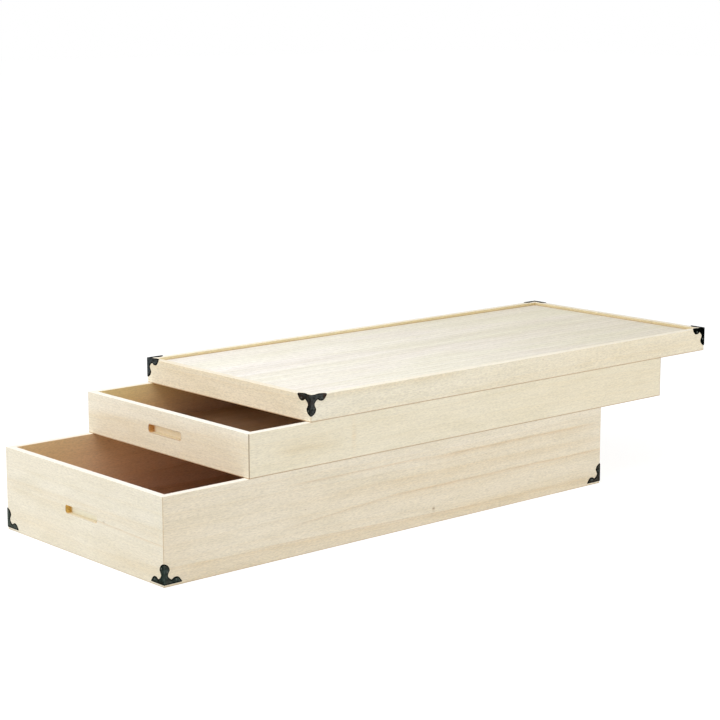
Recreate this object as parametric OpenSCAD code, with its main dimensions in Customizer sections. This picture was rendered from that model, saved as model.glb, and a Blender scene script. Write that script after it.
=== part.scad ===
// Two-tier paulownia clothing box: a deep bottom box, a shallow upper tray and a lid,
// stacked rim on rim, with black iron fittings on the corners of the lid and the bottom box.
// Millimetres. X runs along the length, Y across the width and Z up.
// The origin is the middle of the bottom box's underside.
// The near side is at -Y and the front end, with the open steps, is at -X.

/* [Overall size] */
// Outside length of each tier
box_l = 915; // [700:5:1100]
// Outside width of each tier
box_w = 415; // [300:5:520]
// Thickness of the end and side boards
board_t = 12; // [11:0.5:16]
// Radius of the eased edges of the boards
edge_r = 0.8; // [0.4:0.1:1.5]
// Height of the bottom box
bottom_h = 132; // [90:1:200]
// Height of the upper tray
tray_h = 67; // [50:1:120]
// Height of the lid
lid_h = 40; // [38:1:70]

/* [Stagger at rest] */
// How far the upper tray is pushed back over the bottom box
tray_back = 154; // [0:1:250]
// How far the lid is pushed back over the upper tray
lid_back = 117; // [0:1:250]

/* [Floors and lid panel] */
// Thickness of the floor panels, which lie flush with the lower edge
floor_t = 6; // [4:0.5:9]
// Width of the rebate that each floor panel sits in
rebate_w = 6; // [4:0.5:8]
// Thickness of the lid's top panel
panel_t = 7; // [5:0.5:9]
// Depth of the lid's top panel below the rim
panel_drop = 5; // [3:0.5:8]
// Depth of the groove that holds the lid's top panel
groove_d = 5; // [3:0.5:6]
// Clearance between a panel or key and the slot it sits in
fit_gap = 0.2; // [0.1:0.05:0.4]

/* [Mitre keys] */
// Thickness of the hidden key in each mitred corner
key_t = 3; // [2:0.5:4]
// Width of the key across the mitre
key_w = 8; // [6:0.5:9]
// How far the key's middle lies inside the middle of the boards
key_shift = 1; // [0.5:0.1:1.5]
// Distance from a key's ends to the rim and to the panel
key_margin = 6; // [4:0.5:9]

/* [Finger pulls] */
// Length of the finger pull in each end board
pull_l = 84; // [60:1:110]
// Height of the finger pull
pull_h = 12.5; // [10:0.5:20]
// Depth of the finger pull
pull_d = 8.5; // [5:0.5:9]
// Radius of the finger pull's corners
pull_r = 4; // [2:0.5:4.5]
// How far the upper tray's finger pulls sit above the middle of their boards
tray_pull_up = 1.5; // [0:0.5:4]

/* [Corner fittings] */
// Thickness of the iron sheet
plate_t = 1; // [0.6:0.1:1.4]
// Reach of each side lobe from the corner
lobe_l = 31; // [26:0.5:36]
// Distance from the corner to the lobe's widest place
lobe_peak = 21; // [19:0.5:23]
// Width of the side lobe at its widest
lobe_w = 9.5; // [8:0.5:12]
// Bulge of the lobe's outer side
lobe_bulge = 1.3; // [0:0.1:2]
// Bulge of the lobe's inner side
inner_bulge = 0.5; // [0:0.1:1]
// Blunt end of each lobe's tip
tip_w = 0.8; // [0.6:0.1:1.6]
// Distance from the corner to the notch beside the lobe
notch_l = 12.5; // [11.5:0.1:14]
// Width of the plate at the notch
notch_w = 6.7; // [5.5:0.1:7.5]
// Half width of the leaf's neck
neck_w = 6.6; // [5:0.1:7.5]
// Distance of the neck from the straight edge
neck_up = 12.9; // [11.5:0.1:14.5]
// Half width of the leaf at its widest
leaf_w = 9.8; // [8.5:0.1:11]
// Distance of the leaf's widest place from the straight edge
leaf_peak = 20.8; // [19:0.1:22.5]
// Length of the leaf along the corner
leaf_l = 31; // [29:0.5:34]
// How pointed the leaf is, from 1 for a half ellipse
leaf_point = 1.3; // [1:0.1:1.8]
// Width of the lobe that is folded over the lid's rim
fold_w = 6.5; // [5:0.5:9]
// Distance from the corner to the folded lobe's widest place
fold_peak = 20; // [17:0.5:22]
// Distance from the corner to where the folded lobe starts
fold_start = 11; // [9:0.5:13]
// Width of the folded strip beside the corner
fold_root = 4; // [2:0.5:5]
// Height of the lower fittings above the underside of the box
fitting_up = 3.6; // [2:0.2:6]

/* [Nails] */
// Radius of the nail shank
nail_r = 0.6; // [0.5:0.05:0.8]
// Clearance of a nail in its hole in the plate
nail_gap = 0.1; // [0.05:0.05:0.2]
// Radius of the nail head
head_r = 1.7; // [1.4:0.1:2.2]
// Height of the domed nail head
head_h = 0.8; // [0.5:0.1:1.2]
// Distance of a lobe nail from the corner
lobe_nail_out = 20.5; // [19:0.5:23]
// Distance of a lobe nail from the plate's straight edge
lobe_nail_up = 5.3; // [4.5:0.1:6]
// Distance of a leaf nail from the corner
leaf_nail_out = 4.6; // [4:0.1:5]
// Height of the leaf nail on a long side
leaf_nail_low = 19; // [17.5:0.1:20]
// Height of the leaf nail on an end, apart from the other so that the shanks don't meet
leaf_nail_high = 23.5; // [22.5:0.1:24.5]
// Wood left between a nail's point and the corner key
point_clear = 0.5; // [0.3:0.1:1]

/* [Hidden] */

// Colours of the paulownia, the browner floor panels, the keys and the iron
wood = "#efe6d0";
brown_wood = "#b08e66";
key_wood = "#d8c49c";
iron = "#23282a";

// Smoothness of true round surfaces
$fn = 48;
// Steps in the quarter arc of an eased edge
arc_steps = 4;
// Steps between two guide points of a fitting's outline
curve_steps = 6;
// Steps in the rounding of a fitting's leaf
leaf_steps = 12;
// Extra reach of a cutting shape beyond the surface it cuts
over = 1;
// Factor between a square's side and its diagonal
diagonal = sqrt(2);

// Place of the upper tray and of the lid in the stack
tray_place = [tray_back, 0, bottom_h];
lid_place = [tray_back + lid_back, 0, bottom_h + tray_h];
// Height of the underside of the lid's panel above the lid's lower edge
groove_z = lid_h - panel_drop - panel_t;
// Distance of a key's middle from both outside faces of its corner
key_in = board_t / 2 + key_shift;
// Distance of the key's slot from the outside of the corner, along the mitre
key_face = key_in * diagonal - key_t / 2 - fit_gap;
// Depth of the nails in the wood: the leaf nails stop short of the corner key
nail_bite = (key_face - point_clear - nail_r) * diagonal - leaf_nail_out;

// Points of an arc about a centre, from one angle to another
function arc(centre, r, from, to) =
    [for (i = [0:arc_steps])
        let (a = from + (to - from) * i / arc_steps)
            centre + r * [cos(a), sin(a)]];

// Point on a smooth curve between b and c, with a and d before and after them
function curve_point(a, b, c, d, t) =
    (2 * b + (c - a) * t + (2 * a - 5 * b + 4 * c - d) * t * t
     + (3 * b - a - 3 * c + d) * t * t * t) / 2;

// Smooth curve through guide points, heading for one more point after the last
function curve(p, after) =
    [for (i = [0:len(p) - 2])
        let (before = p[max(i - 1, 0)], next = i + 2 < len(p) ? p[i + 2] : after)
            for (k = [0:curve_steps - 1])
                curve_point(before, p[i], p[i + 1], next, k / curve_steps)];

// Section of a tray board: outside at 0, with a rebate for the floor inside below
function tray_section(h) = concat(
    arc([edge_r, edge_r], edge_r, 180, 270),
    [[board_t - rebate_w, 0], [board_t - rebate_w, floor_t], [board_t, floor_t]],
    arc([board_t - edge_r, h - edge_r], edge_r, 0, 90),
    arc([edge_r, h - edge_r], edge_r, 90, 180));

// Section of a lid board: outside at 0, with a groove for the panel inside
function lid_section() = concat(
    arc([edge_r, edge_r], edge_r, 180, 270),
    arc([board_t - edge_r, edge_r], edge_r, 270, 360),
    [[board_t, groove_z], [board_t - groove_d, groove_z],
     [board_t - groove_d, groove_z + panel_t + fit_gap], [board_t, groove_z + panel_t + fit_gap]],
    arc([board_t - edge_r, lid_h - edge_r], edge_r, 0, 90),
    arc([edge_r, lid_h - edge_r], edge_r, 90, 180));

// Plan of a board with both ends mitred and the outside corners eased
function mitred_plan(l) = concat(
    arc([-l / 2 + edge_r, edge_r], edge_r, 225, 270),
    arc([l / 2 - edge_r, edge_r], edge_r, 270, 315),
    [[l / 2 - board_t, board_t], [-l / 2 + board_t, board_t]]);

// Upright key across the mitre of a corner at the origin, or its slot if it has a gap
module key(low, high, gap = 0) {
    translate([key_in, key_in, low - gap])
        rotate([0, 0, -45])
            translate([-key_w / 2 - gap, -key_t / 2 - gap, 0])
                cube([key_w + 2 * gap, key_t + 2 * gap, high - low + 2 * gap]);
}

// Mitred board along X, outside facing -Y, with slots for keys between two heights
module board(l, h, section, low, high) {
    difference() {
        intersection() {
            rotate([90, 0, 90])
                linear_extrude(height = l, center = true)
                    polygon(section);
            translate([0, 0, -over])
                linear_extrude(height = h + 2 * over)
                    polygon(mitred_plan(l));
        }
        for (side = [0, 1])
            mirror([side, 0, 0])
                translate([-l / 2, 0, 0])
                    key(low, high, fit_gap);
    }
}

// Finger pull cut into the outside of an end board, centred at height z
module pull_cut(z) {
    straight_l = pull_l - 2 * pull_r;
    straight_h = pull_h - 2 * pull_r;
    translate([-straight_l / 2, -over, z - pull_h / 2])
        cube([straight_l, pull_d + over, pull_h]);
    translate([-pull_l / 2, -over, z - straight_h / 2])
        cube([pull_l, pull_d + over, straight_h]);
    for (side = [-1, 1])
        for (level = [-1, 1])
            translate([side * straight_l / 2, pull_d, z + level * straight_h / 2])
                rotate([90, 0, 0])
                    cylinder(r = pull_r, h = pull_d + over);
}

module tray_board(l, h) {
    board(l, h, tray_section(h), floor_t + key_margin, h - key_margin);
}

// End board with its finger pull a little above its middle
module tray_end(h, up = 0) {
    difference() {
        tray_board(box_w, h);
        pull_cut(h / 2 + up);
    }
}

module lid_board(l) {
    board(l, lid_h, lid_section(), key_margin, groove_z - key_margin);
}

// Put a board made along X on one of the four sides of a tier
module at_front() { translate([-box_l / 2, 0, 0]) rotate([0, 0, -90]) children(); }
module at_back() { translate([box_l / 2, 0, 0]) rotate([0, 0, 90]) children(); }
module at_near() { translate([0, -box_w / 2, 0]) children(); }
module at_far() { translate([0, box_w / 2, 0]) rotate([0, 0, 180]) children(); }

// Put a shape made for the front near corner at one corner, or at all four
module at_corner(back, far) {
    mirror([back, 0, 0])
        mirror([0, far, 0])
            translate([-box_l / 2, -box_w / 2, 0])
                children();
}
module at_corners() {
    for (back = [0, 1])
        for (far = [0, 1])
            at_corner(back, far)
                children();
}

// Put a shape made at the bottom of the stack into the upper tray or the lid
module in_tray() { translate(tray_place) children(); }
module in_lid() { translate(lid_place) children(); }

// Put a fitting or its nails low on a corner, or upside down at the lid's rim
module at_foot() { translate([0, 0, fitting_up]) children(); }
module at_rim() { translate([0, 0, lid_h]) mirror([0, 0, 1]) children(); }

// Flat panel inside the four boards, reaching into them by a depth
module panel(depth, low, thick) {
    inset = board_t - depth + fit_gap;
    translate([-box_l / 2 + inset, -box_w / 2 + inset, low])
        cube([box_l - 2 * inset, box_w - 2 * inset, thick]);
}

// Outline of one face of a fitting: x out from the corner, y along the leaf
function face_outline() =
    let (tip = [lobe_l, tip_w],
         peak = [lobe_peak, lobe_w],
         notch = [notch_l, notch_w],
         outer = (tip + peak) / 2 + [lobe_bulge, lobe_bulge],
         inner = (peak + notch) / 2 + [0, inner_bulge],
         widest = [leaf_w, leaf_peak],
         rounding = [for (i = [0:leaf_steps])
                        let (a = 90 * i / leaf_steps)
                            [leaf_w * pow(cos(a), leaf_point),
                             leaf_peak + (leaf_l - leaf_peak) * sin(a)]])
    concat([[0, 0], [lobe_l - tip_w, 0]],
           curve([tip, outer, peak, inner, notch, [neck_w, neck_up], widest], rounding[2]),
           rounding);

// Outline of one arm of the fold over the rim, from the corner out along the edge
function fold_outline() =
    let (tip = [lobe_l - tip_w, tip_w],
         peak = [fold_peak, fold_w],
         outer = (tip + peak) / 2 + [lobe_bulge, lobe_bulge / 2],
         start = [fold_start, fold_root],
         root = [fold_root, fold_root])
    concat([[0, 0], [lobe_l - tip_w, 0]], curve([tip, outer, peak, start, root], root), [root]);

// Places of the two nails on a face: distance from the corner, then along the leaf
function nail_spots(face) =
    [[lobe_nail_out, lobe_nail_up], [leaf_nail_out, face == 0 ? leaf_nail_low : leaf_nail_high]];

// Shape drawn on the long side of the front near corner, for the long side or the end
module on_face(face) {
    mirror(face == 0 ? [0, 0, 0] : [1, -1, 0])
        children();
}

// Sheet of the fitting on one face, with its nail holes
module face_plate(face) {
    on_face(face)
        difference() {
            rotate([90, 0, 0])
                linear_extrude(height = plate_t)
                    polygon(face_outline());
            for (spot = nail_spots(face))
                translate([spot[0], over, spot[1]])
                    rotate([90, 0, 0])
                        cylinder(r = nail_r + nail_gap, h = plate_t + 2 * over);
        }
}

// Round outside of a bend along Z in the sheet, at the -X and -Y sides of the origin
module bend(l) {
    intersection() {
        cylinder(r = plate_t, h = l);
        translate([-2 * plate_t, -2 * plate_t, -over])
            cube([2 * plate_t, 2 * plate_t, l + 2 * over]);
    }
}

// Fitting bent round the corner, with its straight edge below
module lower_fitting() {
    for (face = [0, 1])
        face_plate(face);
    bend(leaf_l);
}

// Fitting bent round the corner and folded over the rim, drawn upside down
module upper_fitting() {
    lower_fitting();
    for (face = [0, 1])
        on_face(face) {
            rotate([0, 90, 0])
                mirror([1, 0, 0])
                    bend(lobe_l - tip_w);
            translate([0, 0, -plate_t])
                linear_extrude(height = plate_t)
                    polygon(fold_outline());
        }
    intersection() {
        sphere(r = plate_t);
        translate([-2 * plate_t, -2 * plate_t, -2 * plate_t])
            cube(2 * plate_t);
    }
}

// Nail through a plate on the long side, its domed head outside at -Y
module nail() {
    dome_r = (head_r * head_r + head_h * head_h) / (2 * head_h);
    rotate([90, 0, 0]) {
        translate([0, 0, -nail_bite])
            cylinder(r = nail_r, h = nail_bite + plate_t + head_h / 2);
        intersection() {
            translate([0, 0, plate_t + head_h - dome_r])
                sphere(r = dome_r);
            translate([0, 0, plate_t])
                cylinder(r = 2 * head_r, h = 2 * head_h);
        }
    }
}

// The four nails of one fitting
module corner_nails() {
    for (face = [0, 1])
        for (spot = nail_spots(face))
            on_face(face)
                translate([spot[0], 0, spot[1]])
                    nail();
}

module bottom_front_end() { color(wood) at_front() tray_end(bottom_h); }
module bottom_back_end() { color(wood) at_back() tray_end(bottom_h); }
module bottom_near_side() { color(wood) at_near() tray_board(box_l, bottom_h); }
module bottom_far_side() { color(wood) at_far() tray_board(box_l, bottom_h); }
module bottom_floor() { color(brown_wood) panel(rebate_w, 0, floor_t); }
module bottom_corner_keys() {
    color(key_wood) at_corners() key(floor_t + key_margin, bottom_h - key_margin);
}
module bottom_front_near_fitting() { color(iron) at_corner(0, 0) at_foot() lower_fitting(); }
module bottom_front_far_fitting() { color(iron) at_corner(0, 1) at_foot() lower_fitting(); }
module bottom_back_near_fitting() { color(iron) at_corner(1, 0) at_foot() lower_fitting(); }
module bottom_back_far_fitting() { color(iron) at_corner(1, 1) at_foot() lower_fitting(); }
module bottom_fitting_nails() { color(iron) at_corners() at_foot() corner_nails(); }

module tray_front_end() { color(wood) in_tray() at_front() tray_end(tray_h, tray_pull_up); }
module tray_back_end() { color(wood) in_tray() at_back() tray_end(tray_h, tray_pull_up); }
module tray_near_side() { color(wood) in_tray() at_near() tray_board(box_l, tray_h); }
module tray_far_side() { color(wood) in_tray() at_far() tray_board(box_l, tray_h); }
module tray_floor() { color(brown_wood) in_tray() panel(rebate_w, 0, floor_t); }
module tray_corner_keys() {
    color(key_wood) in_tray() at_corners() key(floor_t + key_margin, tray_h - key_margin);
}

module lid_front_end() { color(wood) in_lid() at_front() lid_board(box_w); }
module lid_back_end() { color(wood) in_lid() at_back() lid_board(box_w); }
module lid_near_side() { color(wood) in_lid() at_near() lid_board(box_l); }
module lid_far_side() { color(wood) in_lid() at_far() lid_board(box_l); }
module lid_panel() { color(wood) in_lid() panel(groove_d, groove_z, panel_t); }
module lid_corner_keys() {
    color(key_wood) in_lid() at_corners() key(key_margin, groove_z - key_margin);
}
module lid_front_near_fitting() { color(iron) in_lid() at_corner(0, 0) at_rim() upper_fitting(); }
module lid_front_far_fitting() { color(iron) in_lid() at_corner(0, 1) at_rim() upper_fitting(); }
module lid_back_near_fitting() { color(iron) in_lid() at_corner(1, 0) at_rim() upper_fitting(); }
module lid_back_far_fitting() { color(iron) in_lid() at_corner(1, 1) at_rim() upper_fitting(); }
module lid_fitting_nails() { color(iron) in_lid() at_corners() at_rim() corner_nails(); }

bottom_front_end();
bottom_back_end();
bottom_near_side();
bottom_far_side();
bottom_floor();
bottom_corner_keys();
bottom_front_near_fitting();
bottom_front_far_fitting();
bottom_back_near_fitting();
bottom_back_far_fitting();
bottom_fitting_nails();
tray_front_end();
tray_back_end();
tray_near_side();
tray_far_side();
tray_floor();
tray_corner_keys();
lid_front_end();
lid_back_end();
lid_near_side();
lid_far_side();
lid_panel();
lid_corner_keys();
lid_front_near_fitting();
lid_front_far_fitting();
lid_back_near_fitting();
lid_back_far_fitting();
lid_fitting_nails();
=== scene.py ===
import functools
import math

import bmesh
import bpy
from mathutils import Matrix, Vector, geometry, noise


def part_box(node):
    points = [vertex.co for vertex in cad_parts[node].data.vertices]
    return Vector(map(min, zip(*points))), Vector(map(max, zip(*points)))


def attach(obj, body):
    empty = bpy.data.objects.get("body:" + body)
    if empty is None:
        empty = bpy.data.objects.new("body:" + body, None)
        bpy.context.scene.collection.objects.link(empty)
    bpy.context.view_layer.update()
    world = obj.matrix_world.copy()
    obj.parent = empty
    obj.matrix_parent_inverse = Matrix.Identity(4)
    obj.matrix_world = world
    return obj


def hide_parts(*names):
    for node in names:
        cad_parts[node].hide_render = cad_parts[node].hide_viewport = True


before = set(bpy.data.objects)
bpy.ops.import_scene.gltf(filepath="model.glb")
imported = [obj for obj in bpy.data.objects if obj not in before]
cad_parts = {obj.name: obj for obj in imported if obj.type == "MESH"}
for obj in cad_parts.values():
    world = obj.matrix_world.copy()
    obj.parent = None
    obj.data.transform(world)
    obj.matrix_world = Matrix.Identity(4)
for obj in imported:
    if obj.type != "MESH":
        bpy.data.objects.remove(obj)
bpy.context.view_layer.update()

# Looks of a two-tier paulownia clothing box: a bottom box, an upper tray and a lid,
# whose corners carry black iron fittings. Lengths are in metres.
MM = 0.001

# Thickness of the boards, and size of the finger pulls
BOARD = 12 * MM
PULL_DEPTH = 8.5 * MM
PULL_HALF_L, PULL_HALF_H, PULL_R = 42 * MM, 6.25 * MM, 4 * MM
TRAY_PULL_UP = 1.5 * MM

# Outline of an iron fitting, as in the part's source: out from the corner, then along the leaf
LOBE_L, TIP_W = 31 * MM, 0.8 * MM
LOBE_TIP = Vector((LOBE_L - TIP_W, 0))
LOBE_GUIDE = [(28.6 * MM, 4.6 * MM), (25.2 * MM, 8.2 * MM), (21 * MM, 9.5 * MM),
              (16.7 * MM, 8.6 * MM)]
NOTCH = (12.5 * MM, 6.7 * MM)
NECK = (6.6 * MM, 12.9 * MM)
LEAF_W, LEAF_PEAK, LEAF_L, LEAF_POINT = 9.8 * MM, 20.8 * MM, 31 * MM, 1.3
FOLD_GUIDE = [(26.4 * MM, 4.3 * MM), (20 * MM, 6.5 * MM), (11 * MM, 4 * MM)]
FOLD_ROOT = 4 * MM
FITTING_UP = 3.6 * MM

# Thickness of the pressed iron: at its cut edge, past its rounded border, and its crown
IRON_EDGE, IRON_FACE, IRON_CROWN = 0.35 * MM, 0.85 * MM, 0.15 * MM
IRON_BORDER, IRON_CROWN_REACH = 1.2 * MM, 4.5 * MM
# Width of the border in painted shade, and of its passage to the field
IRON_RIM, IRON_RIM_FADE = 1.2 * MM, 0.8 * MM
# Dents all over the iron, and the dimple round each nail
IRON_DENT, IRON_DENT_SIZE = 0.05 * MM, 2.6 * MM
DIMPLE_DEPTH, DIMPLE_R = 0.22 * MM, 2.7 * MM
# Spacing of the points in a fitting's mesh, and steps between guide points, round its bends and
# round its leaf's tip
IRON_GRID, CURVE_STEPS, BEND_STEPS, TIP_STEPS = 0.9 * MM, 6, 6, 14
# Rows of points by a fitting's free edge, as shares of its border, how near to other edges a
# row's points may come, and room between the grid's points and the border, and the outline
BORDER_ROWS, ROW_ROOM, BORDER_ROOM, GRID_ROOM = (0.12, 0.35, 0.65, 1.0), 0.97, 1.35, 0.45
# Points nearer than this are joined, edges shorter than this go, and sharper edges stay sharp
WELD, SLIVER, SHARP_ANGLE = 0.004 * MM, 0.001 * MM, math.radians(50)
# Least square of a segment's length, and least gap that the triangles keep
LEAST_SQUARE, LEAST_GAP = 1e-14, 1e-9

# Nails: shank, domed head, depth in the wood, height of the head's seat above the wood, where
# the shank begins to thin and how thin it ends
NAIL_R, HEAD_R, HEAD_H, NAIL_BITE = 0.6 * MM, 1.7 * MM, 0.8 * MM, 5.6 * MM
NAIL_SEAT, POINT_START, POINT_END = 1 * MM, 0.6, 0.25
# Rings and sides of a nail's mesh, radius of its last ring and depth of the head's lip
NAIL_RINGS, NAIL_SIDES, DOME_TOP, DOME_LIP = 64, 20, 0.04 * MM, 0.01 * MM
# Places of the nails on a fitting's two faces
LOBE_NAIL = (20.5 * MM, 5.3 * MM)
LEAF_NAILS = ((4.6 * MM, 19 * MM), (4.6 * MM, 23.5 * MM))

# The photograph's camera
CAMERA_AT = (-1.9952, -2.3675, 0.8180)
CAMERA_PITCH, CAMERA_YAW = 79.45, -41.42
CAMERA_LENS, CAMERA_SENSOR = 97.36, 36.0
CAMERA_RANGE = 0.05, 100


def paint(code):
    """Linear colour of a paint written as a hex code."""
    parts = [int(code[i:i + 2], 16) / 255 for i in (1, 3, 5)]
    return [p / 12.92 if p <= 0.04045 else ((p + 0.055) / 1.055) ** 2.4 for p in parts] + [1.0]


# Plain tones, and casts that multiply the paulownia's own colour
WHITE, BLACK = (1.0, 1.0, 1.0, 1.0), (0.0, 0.0, 0.0, 1.0)
TAN_CAST = paint("#efe3cb")
PANEL_CAST = paint("#e8e6df")
GREY_CAST = paint("#f8f7f3")
STREAK_CAST = paint("#f0e3cb")
LINE_CAST = paint("#e2c9a2")


class Tier:
    """One box of the stack, measured from its CAD boards."""

    def __init__(self, name, body):
        """Measures the tier of this name, which moves with this body."""
        low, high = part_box(f"{name}_near_side")
        self.name, self.body = name, body
        self.half_l = (high.x - low.x) / 2
        self.half_w = -low.y
        self.foot, self.height = low.z, high.z - low.z
        self.pull_level = self.height / 2 + (TRAY_PULL_UP if name == "tray" else 0)
        self.centre = Vector(((low.x + high.x) / 2, 0, self.foot))


TIERS = {name: Tier(name, body) for name, body in (
    ("bottom", "bottom_box"), ("tray", "upper_tray"), ("lid", "lid"))}
# Height of the lid's top panel in the lid
PANEL_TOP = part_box("lid_panel")[1].z - TIERS["lid"].foot


def place_object(data):
    """Makes an object of this data and puts it in the scene."""
    thing = bpy.data.objects.new(data.name, data)
    bpy.context.scene.collection.objects.link(thing)
    return thing


# Node helpers

def feed(tree, node, inputs):
    """Feeds a node's inputs with values, with other nodes' outputs, or with their first ones."""
    for key, value in inputs.items():
        if isinstance(value, bpy.types.Node):
            value = value.outputs[0]
        if isinstance(value, bpy.types.NodeSocket):
            tree.links.new(value, node.inputs[key])
        else:
            node.inputs[key].default_value = value
    return node


def put(tree, kind, inputs=None, **settings):
    """Adds a node, sets it, and feeds its inputs."""
    node = tree.nodes.new(kind)
    for name, value in settings.items():
        setattr(node, name, value)
    return feed(tree, node, inputs or {})


def calc(operation, tree, *values, clamp=False):
    """Math node on these values."""
    inputs = dict(enumerate(values))
    return put(tree, "ShaderNodeMath", inputs, operation=operation, use_clamp=clamp)


# Sum, difference and product of two values, and a value times another plus a third
plus, minus, times, scaled = (
    functools.partial(calc, name) for name in ("ADD", "SUBTRACT", "MULTIPLY", "MULTIPLY_ADD"))


def sway(tree, value, amount, base, clamp=False):
    """A base value moved up or down by a value that lies about 0.5."""
    return scaled(tree, minus(tree, value, 0.5), amount, base, clamp=clamp)


def length_of(tree, a, b):
    """Length of the line that goes this far one way and that far at right angles."""
    return calc("SQRT", tree, plus(tree, times(tree, a, a), times(tree, b, b)))


def step(tree, value, low, high, bottom=0.0, top=1.0):
    """Smooth step of a value from one end of a range to the other."""
    inputs = {0: value, 1: low, 2: high, 3: bottom, 4: top}
    return put(tree, "ShaderNodeMapRange", inputs, interpolation_type="SMOOTHSTEP")


def tint(tree, share, colour, other, blend="MIX"):
    """One colour mixed into another."""
    inputs = {0: share, 6: colour, 7: other}
    return put(tree, "ShaderNodeMix", inputs, data_type="RGBA", blend_type=blend).outputs[2]


def shaded(tree, colour, share):
    """A colour made darker or lighter."""
    return put(tree, "ShaderNodeVectorMath", {0: colour, 3: share}, operation="SCALE")


def split(tree, vector):
    """A vector's three parts."""
    return put(tree, "ShaderNodeSeparateXYZ", {0: vector}).outputs


def stretched_noise(tree, vector, scale, detail=2.0, rough=0.5):
    """Noise on coordinates that are stretched differently on each axis."""
    stretched = put(tree, "ShaderNodeVectorMath", {0: vector, 1: scale}, operation="MULTIPLY")
    inputs = {"Vector": stretched, "Scale": 1.0, "Detail": detail, "Roughness": rough}
    return put(tree, "ShaderNodeTexNoise", inputs)


def chance(tree, value):
    """Three even random numbers that depend on a whole number."""
    colour = put(tree, "ShaderNodeTexWhiteNoise", {"W": value}, noise_dimensions="1D").outputs[1]
    return put(tree, "ShaderNodeSeparateColor", {0: colour}).outputs


def new_group(name, floats, colours=()):
    """Shader node group that takes a vector and these values: its tree and its inputs."""
    tree = bpy.data.node_groups.new(name, "ShaderNodeTree")
    for kind, sockets in (("Vector", ["Vector"]), ("Float", floats), ("Color", colours)):
        for socket in sockets:
            tree.interface.new_socket(socket, in_out="INPUT", socket_type=f"NodeSocket{kind}")
    return tree, tree.nodes.new("NodeGroupInput").outputs


def finish_group(tree, results):
    """Gives the group an output for each result."""
    for name in results:
        kind = "Color" if name == "Color" else "Float"
        tree.interface.new_socket(name, in_out="OUTPUT", socket_type=f"NodeSocket{kind}")
    feed(tree, tree.nodes.new("NodeGroupOutput"), results)
    return tree


def place_group(tree, group, inputs):
    """Places a group in a tree with these inputs, and gives its outputs."""
    return put(tree, "ShaderNodeGroup", inputs, node_tree=group).outputs


# Shared effects

# Fineness of the wood's noises per metre: along the grain, across it and through it
WAVER, CLOUDS, GREY_CLOUDS = (1.6, 7.0, 7.0), (2.6, 19.0, 19.0), (9.0, 45.0, 45.0)
FIBRES, FLECKS, PORES = (14.0, 560.0, 560.0), (170.0, 700.0, 700.0), (130.0, 1300.0, 1300.0)
# Range and least value of the tree's heart as seen from a strip: sideways, deep, and its lean
HEART_SIDEWAYS, HEART_DEEP, HEART_LEAN = (0.16, -0.2), (0.05, 0.02), (0.03, -0.015)
# How far rings waver, how late in a ring its dark wood grows, and where that wood ends
RING_WAVER, LATE_POWER, LATE_END = 0.016, 5.0, 0.94
# How tan plain wood is, and how unlike its rings are
TAN_SHARE, RING_VARIETY = 0.3, 0.5
# What wood, its fibres, pores and grey clouds do to its shade, its roughness and its relief
WOOD_SHADE, FIBRE_SHADE, PORE_SHADE, GREY_SHARE = 1.02, 0.22, -0.1, 0.7
PORE_EDGE, GREY_EDGE = (0.6, 0.72), (0.4, 0.7)
WOOD_ROUGH, FIBRE_ROUGH, PORE_ROUGH = 0.46, 0.14, 0.12
PORE_RELIEF, LATE_RELIEF = -0.5, 0.35
# Streaks: how far they waver, and fineness and strength of their patches
STREAK_WAVER, STREAK_WAVES = 4 * MM, (6.0, 0.0, 0.0)
STREAK_PATCHES, PATCHINESS = (22.0, 190.0, 0.0), (1.2, 0.4)

# The lid panel's noises of hue and of speckles
PANEL_HUES, PANEL_SPECKLES, SPECKLE_SHADE = (3.0, 13.0, 0.0), (110.0, 170.0, 0.0), 0.3

# Soft borders of the places on a board, from where each doesn't show to where it does
CORNER_EDGE = 1.3 * MM, 0.5 * MM
RIM_EDGE = 0.3 * MM, 0.05 * MM
FOOT_EDGE = 1.9 * MM, 1.0 * MM
INNER_EDGE = BOARD - 0.5 * MM, BOARD - 0.15 * MM
PANEL_EDGE = PANEL_TOP + 1.4 * MM, PANEL_TOP
SEAM_EDGE = 1.6 * MM, 0.3 * MM
PULL_MOUTH = 0.15 * MM, 0.6 * MM
PULL_BACK = PULL_DEPTH + 1.5 * MM, PULL_DEPTH + 0.8 * MM
PULL_SIDE = 1.2 * MM, 0.4 * MM
PULL_LOW = PULL_HALF_H, -0.5 * PULL_HALF_H
PULL_LIP = 0.3 * MM - PULL_HALF_H, -0.2 * MM - PULL_HALF_H
PULL_END = PULL_HALF_L - 8 * MM, PULL_HALF_L - 2 * MM
PULL_FRONT = 1.0 * MM, 0.6 * MM
PULL_EDGE = 1.1 * MM, 0.5 * MM
# How far the painted shade of an open inside reaches back, and its shares by length and by height
SHADE_REACH, SHADE_ALONG, SHADE_DOWN = 0.3, 0.6, 0.4


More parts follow.
